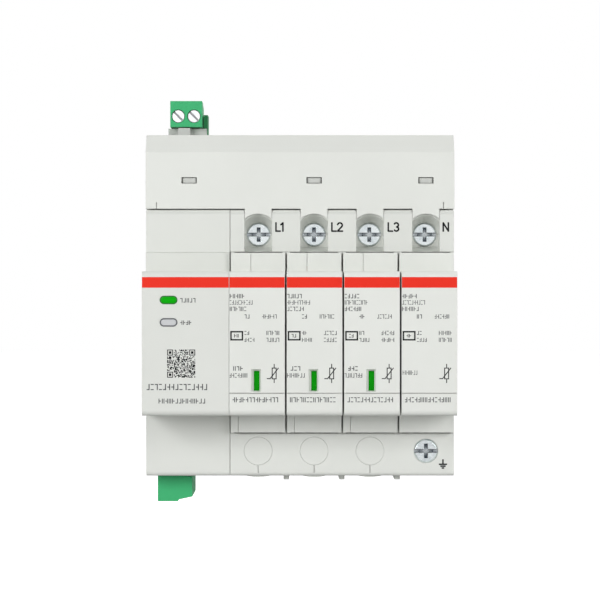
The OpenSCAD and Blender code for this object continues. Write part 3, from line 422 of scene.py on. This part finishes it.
def makeRedBand(name, node, body):
    low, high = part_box(node)
    mesh = bmesh.new()
    left, right = low.x + redBand["inset"], high.x - redBand["inset"]
    inkPatch(mesh, left, right, redBand["low"], redBand["high"], noseY, redBand["corner"])
    makePiece(name, mesh, redInk, body)


makeRedBand("redBand.module", "module_front", "base")
for pole in poles:
    makeRedBand("redBand." + pole, "cartridge_case_" + pole, "cartridge_" + pole)
print("red bands printed")

polePrint = {  # rows of a cartridge in mm: from, to, height above the rail centre, mark height, marks
    "heading": [(-8.45, -3.7, 14.7, 1.35, 5), (-8.45, -1.2, 12.75, 1.35, 10),
                (-8.45, -3.1, 10.75, 1.35, 6)],
    "rating": [(-3.9, -2.1, 8.4, 1.3, 2), (1.6, 6.3, 8.4, 1.3, 6)],
    "class": [(-3.9, -2.2, 3.3, 1.2, 2), (2.9, 7.1, 3.3, 1.3, 5),
              (-3.9, -0.6, 1.15, 1.2, 4), (2.9, 7.1, 1.15, 1.3, 5)],
    "flag": [(-7.4, -4.1, -7.7, 1.35, 3), (-8.5, -2.8, -9.85, 1.35, 7)],
    "single": [(-8.3, -3.6, -9.0, 1.35, 7)],
    "number": [(-7.6, 6.8, -17.4, 1.55, 14)],
    "frame": (-8.3, -4.3, 0.95, 3.9), "frameBar": 0.46, "frameMark": (-7.1, -5.5, 2.43, 1.1, 2)}
poleSymbol = {"x": 5.3, "z": -9.25, "wide": 1.5, "high": 3.6, "bar": 0.28, "lead": 1.15,
              "slash": 4.4, "slant": 38, "foot": 0.9}  # in mm, slant in degrees


def inkRows(mesh, middle, rows, seed):
    for k, (x0, x1, z, height, marks) in enumerate(rows):
        inkRow(mesh, middle + x0 * mm, middle + x1 * mm, z * mm, height * mm, marks, noseY, seed + 2 * k)


def inkFrame(mesh, x0, x1, z0, z1, bar, y):
    inkPatch(mesh, x0, x1, z0, z0 + bar, y)
    inkPatch(mesh, x0, x1, z1 - bar, z1, y)
    inkPatch(mesh, x0, x0 + bar, z0, z1, y)
    inkPatch(mesh, x1 - bar, x1, z0, z1, y)


def inkSymbol(mesh, middle, look):  # plain circuit sign: a box on two leads with a slanted line through it
    x, z, bar = middle + look["x"] * mm, look["z"] * mm, look["bar"] * mm
    wide, high = look["wide"] * mm / 2, look["high"] * mm / 2
    inkFrame(mesh, x - wide, x + wide, z - high, z + high, bar, noseY)
    for side in (-1, 1):
        ends = sorted((z + side * high, z + side * (high + look["lead"] * mm)))
        inkPatch(mesh, x - bar / 2, x + bar / 2, ends[0], ends[1], noseY)
    before = set(mesh.verts)
    reach, slant = look["slash"] * mm / 2, math.radians(look["slant"])
    inkPatch(mesh, x - bar / 2, x + bar / 2, z - reach, z + reach, noseY)
    turned = [v for v in mesh.verts if v not in before]
    bmesh.ops.rotate(mesh, verts=turned, cent=(x, noseY, z), matrix=Matrix.Rotation(slant, 3, "Y"))
    tip = x - reach * math.sin(slant)
    foot = z - reach * math.cos(slant)
    inkPatch(mesh, tip - look["foot"] * mm, tip, foot, foot + bar, noseY)


def makePolePrint(pole, number):
    low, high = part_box("cartridge_case_" + pole)
    middle = (low.x + high.x) / 2
    words = bmesh.new()
    for k, name in enumerate(["heading", "rating", "class", "number", "single" if pole == "n" else "flag"]):
        inkRows(words, middle, polePrint[name], number + k)
    makePiece("poleWords." + pole, words, greyInk, "cartridge_" + pole)
    signs = bmesh.new()
    x0, x1, z0, z1 = polePrint["frame"]
    inkFrame(signs, middle + x0 * mm, middle + x1 * mm, z0 * mm, z1 * mm, polePrint["frameBar"] * mm, noseY)
    inkRows(signs, middle, [polePrint["frameMark"]], number)
    inkSymbol(signs, middle, poleSymbol)
    makePiece("poleSigns." + pole, signs, darkInk, "cartridge_" + pole)


for number, pole in enumerate(poles):
    makePolePrint(pole, number)
print("cartridges printed")

modulePrint = {  # rows as on a cartridge, in mm from the middle of the part
    "lamps": [(-37.1, -32.1, 13.4, 1.35, 5), (-37.1, -33.4, 6.5, 1.35, 4)],
    "lines": [(-47.5, -28.4, -13.45, 1.9, 15), (-43.8, -29.1, -17.8, 1.5, 14)],
    "code": {"x": -36.8, "z": -6.2, "size": 8.7, "cells": 33, "eye": 7, "fill": 0.48}}


def codeCell(i, j, code):  # filled cells of the square: three corner eyes, the rest by a formula
    cells, eye = code["cells"], code["eye"]
    for ci, cj in ((0, 0), (cells - eye, 0), (cells - eye, cells - eye)):
        a, b = i - ci, j - cj
        if -1 <= a <= eye and -1 <= b <= eye:
            ring = min(a, b, eye - 1 - a, eye - 1 - b)
            return ring == 0 or ring >= 2
    return math.sin(i * 12.9898 + j * 78.233) * 4375.85 % 1 < code["fill"]  # even scatter, same each run


def makeModulePrint(look):
    words = bmesh.new()
    inkRows(words, 0.0, look["lamps"] + look["lines"], 1)
    makePiece("moduleWords", words, greyInk, "base")
    code = look["code"]
    cell = code["size"] * mm / code["cells"]
    square = bmesh.new()
    for i in range(code["cells"]):
        run = None
        for j in range(code["cells"] + 1):  # neighbouring cells of a row become one bar
            filled = j < code["cells"] and codeCell(i, j, code)
            if filled and run is None:
                run = j
            if not filled and run is not None:
                x0 = code["x"] * mm - code["size"] * mm / 2 + run * cell
                z0 = code["z"] * mm - code["size"] * mm / 2 + i * cell
                inkPatch(square, x0, x0 + (j - run) * cell, z0, z0 + cell, noseY)
                run = None
    makePiece("moduleCode", square, darkInk, "base")


makeModulePrint(modulePrint)
print("module printed")


def arcPoints(x, z, radius, first, last, count):  # points on a circle, angles in degrees from +X
    angles = [math.radians(first + (last - first) * k / count) for k in range(count + 1)]
    return [(x + radius * math.cos(a), z + radius * math.sin(a)) for a in angles]


letterPaths = {  # strokes of the terminal letters in a box 0.6 wide and 1 high
    "L": [[(0.0, 1.0), (0.0, 0.0), (0.5, 0.0)]],
    "N": [[(0.0, 0.0), (0.0, 1.0), (0.6, 0.0), (0.6, 1.0)]],
    "1": [[(0.08, 0.78), (0.32, 1.0), (0.32, 0.0)]],
    "2": [arcPoints(0.28, 0.72, 0.28, 165, -38, 9) + [(0.0, 0.0), (0.58, 0.0)]],
    "3": [arcPoints(0.26, 0.75, 0.25, 150, -80, 9), arcPoints(0.27, 0.26, 0.26, 80, -150, 9)]}
terminalMarks = {  # letters of each mark and where they start, in mm
    "L1": [("L", -7.65), ("1", -6.3)], "L2": [("L", 10.15), ("2", 11.95)],
    "L3": [("L", 28.1), ("3", 29.95)], "N": [("N", 45.6)]}
markShape = {"low": 35.42, "high": 38.05, "wide": 2.7, "bar": 0.52,  # in mm
             "past": 0.45, "round": 0.4}  # ends of a stroke, as shares of the bar
earthSign = {"x": 45.5, "top": -37.2, "stem": 1.35, "bars": [2.6, 1.7, 0.8], "step": 0.6, "bar": 0.48}  # in mm


def inkStroke(mesh, a, b, bar, y):  # a printed line from a to b, given as x and z
    reach = Vector((b[0] - a[0], 0, b[1] - a[1]))
    before = set(mesh.verts)
    half = reach.length / 2 + bar * markShape["past"]
    inkPatch(mesh, -half, half, -bar / 2, bar / 2, 0.0, bar * markShape["round"])
    made = [v for v in mesh.verts if v not in before]
    turn = Matrix.Rotation(-math.atan2(reach.z, reach.x), 3, "Y")
    bmesh.ops.rotate(mesh, verts=made, cent=(0, 0, 0), matrix=turn)
    bmesh.ops.translate(mesh, verts=made, vec=((a[0] + b[0]) / 2, y, (a[1] + b[1]) / 2))


def makeTerminalMarks():
    letters = bmesh.new()
    tall = (markShape["high"] - markShape["low"]) * mm
    for mark in terminalMarks.values():
        for letter, x in mark:
            for path in letterPaths[letter]:
                spots = [(x * mm + px * markShape["wide"] * mm, markShape["low"] * mm + pz * tall)
                         for px, pz in path]
                for a, b in zip(spots, spots[1:]):
                    inkStroke(letters, a, b, markShape["bar"] * mm, shoulderY)
    makePiece("terminalMarks", letters, darkInk, "base")
    sign = bmesh.new()
    x, bar = earthSign["x"] * mm, earthSign["bar"] * mm
    top, foot = earthSign["top"] * mm, (earthSign["top"] - earthSign["stem"]) * mm
    inkPatch(sign, x - bar / 2, x + bar / 2, foot, top, shoulderY)
    for k, length in enumerate(earthSign["bars"]):
        z = (earthSign["top"] - earthSign["stem"] - k * earthSign["step"]) * mm
        inkPatch(sign, x - length * mm / 2, x + length * mm / 2, z - bar, z, shoulderY)
    makePiece("earthSign", sign, darkInk, "base")


makeTerminalMarks()
print("terminals marked")

screwLip = {"inner": 3.81 * mm, "outer": 4.02 * mm, "edge": 0.05 * mm, "sink": 0.06 * mm,
            "deep": 0.5 * mm, "steps": 64}


def makeScrewLip(terminal, look):  # thin moulded lip of the base around a screw head
    low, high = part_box("terminal_screw_" + terminal)
    x, z = (low.x + high.x) / 2, (low.z + high.z) / 2
    mesh = bmesh.new()
    front, back = low.y + look["sink"], low.y + look["sink"] + look["deep"]
    inner, outer, edge = look["inner"], look["outer"], look["edge"]
    corners = [(inner, front + edge), (inner + edge, front), (outer, front), (outer, back), (inner, back)]
    verts = [mesh.verts.new((x + radius, y, z)) for radius, y in corners]
    edges = [mesh.edges.new((verts[k - 1], verts[k])) for k in range(len(verts))]
    bmesh.ops.spin(mesh, geom=verts + edges, cent=(x, 0, z), axis=(0, 1, 0), angle=2 * math.pi,
                   steps=look["steps"], use_merge=True)
    makePiece("screwLip." + terminal, mesh, baseShell, "base")


for terminal in terminals:
    makeScrewLip(terminal, screwLip)
print("screw lips added")

lensPlace = {"x": -40.7 * mm, "wide": 5.27 * mm, "high": 2.4 * mm,
             "heights": {"power_lens": 13.5 * mm, "com_lens": 6.56 * mm}}
lensCap = {"rise": 0.16 * mm, "step": 0.45 * mm, "crown": 0.14 * mm, "rim": 0.42 * mm, "over": 0.12 * mm,
           "rimRise": 0.05 * mm, "tuck": 0.04 * mm, "segments": 48}


def lensOutline(mesh, x, z, wide, high, y):  # stadium-shaped face at a lens, facing -Y
    made = bmesh.ops.create_circle(mesh, cap_ends=True, segments=lensCap["segments"], radius=high / 2,
                                   matrix=Matrix.Rotation(math.pi / 2, 4, "X"))
    for v in made["verts"]:
        v.co.x += math.copysign((wide - high) / 2, v.co.x)
    bmesh.ops.translate(mesh, verts=made["verts"], vec=(x, y, z))
    return [f for f in mesh.faces if set(f.verts) <= set(made["verts"])]


def raiseFaces(mesh, faces, rise):  # extrudes faces to the front and gives back the raised ones
    grown = bmesh.ops.extrude_face_region(mesh, geom=faces)["geom"]
    moved = [g for g in grown if isinstance(g, bmesh.types.BMVert)]
    bmesh.ops.translate(mesh, verts=moved, vec=(0, -rise, 0))
    return [g for g in grown if isinstance(g, bmesh.types.BMFace)]


def makeLens(name, node, material, rimMaterial):  # domed cap on a lens and a thin rim around it
    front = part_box(node)[0].y
    x, z = lensPlace["x"], lensPlace["heights"][node]
    wide, tall, over = lensPlace["wide"], lensPlace["high"], lensCap["over"]
    cap = bmesh.new()
    inside = 2 * (lensCap["rim"] - over) - lensCap["tuck"]
    faces = lensOutline(cap, x, z, wide - inside, tall - inside, front)
    top = raiseFaces(cap, faces, lensCap["rise"])
    bmesh.ops.recalc_face_normals(cap, faces=cap.faces)
    bmesh.ops.inset_region(cap, faces=top, thickness=lensCap["step"], depth=lensCap["crown"])
    makePiece(name + "Cap", cap, material, "base")
    rim = bmesh.new()
    faces = lensOutline(rim, x, z, wide + 2 * over, tall + 2 * over, noseY)
    bmesh.ops.recalc_face_normals(rim, faces=rim.faces)
    bmesh.ops.inset_region(rim, faces=faces, thickness=lensCap["rim"], use_boundary=True,
                           use_even_offset=True)
    inner = max(rim.faces, key=lambda f: f.calc_area())
    bmesh.ops.delete(rim, geom=[inner], context="FACES_ONLY")
    raiseFaces(rim, rim.faces[:], lensCap["rimRise"])
    makePiece(name + "Rim", rim, rimMaterial, "base")


greenRim = plastic("greenRim", (22, 112, 26), (60, 150, 64))
greyRim = plastic("greyRim", (98, 100, 104), (126, 128, 132))
makeLens("powerLens", "power_lens", powerGlow, greenRim)
makeLens("comLens", "com_lens", comGlow, greyRim)
print("lenses capped")

stage = {"drop": 0.037, "half": 4.0, "floor": (205, 205, 205), "floorRough": 0.9, "floorGlow": 0.92,
         "sky": 0.01}
middle = (cadLow + cadHigh) / 2
cardZ = cadLow.z - 0.034  # just above the floor
lamps = {  # soft boxes in front, upturned cards on the floor, rim lights behind
    "leftBox": {"place": (-0.75, -1.05, 0.34), "target": middle, "size": (0.6, 0.6), "power": 9.6},
    "rightBox": {"place": (0.8, -1.0, 0.34), "target": middle, "size": (0.5, 0.6), "power": 7.0},
    "leftCard": {"place": (-0.32, -0.31, cardZ), "target": (-0.32, -0.31, 1),
                 "size": (0.4, 0.38), "power": 0.1},
    "rightCard": {"place": (0.32, -0.31, cardZ), "target": (0.32, -0.31, 1),
                  "size": (0.4, 0.38), "power": 0.1},
    "leftRim": {"place": (-0.6, 0.3, 0.85), "target": middle, "size": (0.5, 0.4), "power": 3.6},
    "rightRim": {"place": (0.6, 0.3, 0.85), "target": middle, "size": (0.5, 0.4), "power": 3.6}}


def makeFloor(look):  # pale floor that the camera sees as white, with the shadow kept
    mesh = bmesh.new()
    bmesh.ops.create_grid(mesh, x_segments=8, y_segments=8, size=look["half"],
                          matrix=Matrix.Translation((0, 0, cadLow.z - look["drop"])))
    data = bpy.data.meshes.new("studioFloor")
    mesh.to_mesh(data)
    mesh.free()
    floor = bpy.data.objects.new("studioFloor", data)
    scene.collection.objects.link(floor)
    material = bpy.data.materials.new("studioFloor")
    material.use_nodes = True
    tree = material.node_tree
    shader = tree.nodes["Principled BSDF"]
    shader.inputs["Base Color"].default_value = tone(*look["floor"])
    shader.inputs["Roughness"].default_value = look["floorRough"]
    rays = addNode(tree, "LightPath")
    glow = addNode(tree, "Emission", {"Color": (1, 1, 1, 1)})
    level = addNode(tree, "Math", {1: look["floorGlow"]}, operation="MULTIPLY")
    tree.links.new(rays.outputs["Is Camera Ray"], level.inputs[0])
    tree.links.new(level.outputs["Value"], glow.inputs["Strength"])
    both = addNode(tree, "AddShader")
    tree.links.new(shader.outputs["BSDF"], both.inputs[0])
    tree.links.new(glow.outputs["Emission"], both.inputs[1])
    tree.links.new(both.outputs["Shader"], tree.nodes["Material Output"].inputs["Surface"])
    data.materials.append(material)


def makeSky(look):  # white where it is seen or mirrored, almost no light on the part
    world = bpy.data.worlds.new("studioSky")
    scene.world = world
    world.use_nodes = True
    tree = world.node_tree
    tree.nodes["Background"].inputs["Color"].default_value = (1, 1, 1, 1)
    tree.nodes["Background"].inputs["Strength"].default_value = look["sky"]
    seen = addNode(tree, "Background", {"Color": (1, 1, 1, 1), "Strength": 1.0})
    rays = addNode(tree, "LightPath")
    direct = addNode(tree, "Math", operation="MAXIMUM")
    tree.links.new(rays.outputs["Is Camera Ray"], direct.inputs[0])
    tree.links.new(rays.outputs["Is Glossy Ray"], direct.inputs[1])
    either = addNode(tree, "Math", operation="MAXIMUM")
    tree.links.new(direct.outputs["Value"], either.inputs[0])
    tree.links.new(rays.outputs["Is Transmission Ray"], either.inputs[1])
    pick = addNode(tree, "MixShader")
    tree.links.new(either.outputs["Value"], pick.inputs[0])
    tree.links.new(tree.nodes["Background"].outputs["Background"], pick.inputs[1])
    tree.links.new(seen.outputs["Background"], pick.inputs[2])
    tree.links.new(pick.outputs["Shader"], tree.nodes["World Output"].inputs["Surface"])


def makeLamp(name, look):
    data = bpy.data.lights.new(name, "AREA")
    data.shape = "RECTANGLE"
    data.size, data.size_y = look["size"]
    data.energy = look["power"]
    lamp = bpy.data.objects.new(name, data)
    lamp.location = look["place"]
    aim = Vector(look["target"]) - Vector(look["place"])
    lamp.rotation_euler = aim.to_track_quat("-Z", "Y").to_euler()
    scene.collection.objects.link(lamp)


makeFloor(stage)
makeSky(stage)
for name, look in lamps.items():
    makeLamp(name, look)
print("stage lit")
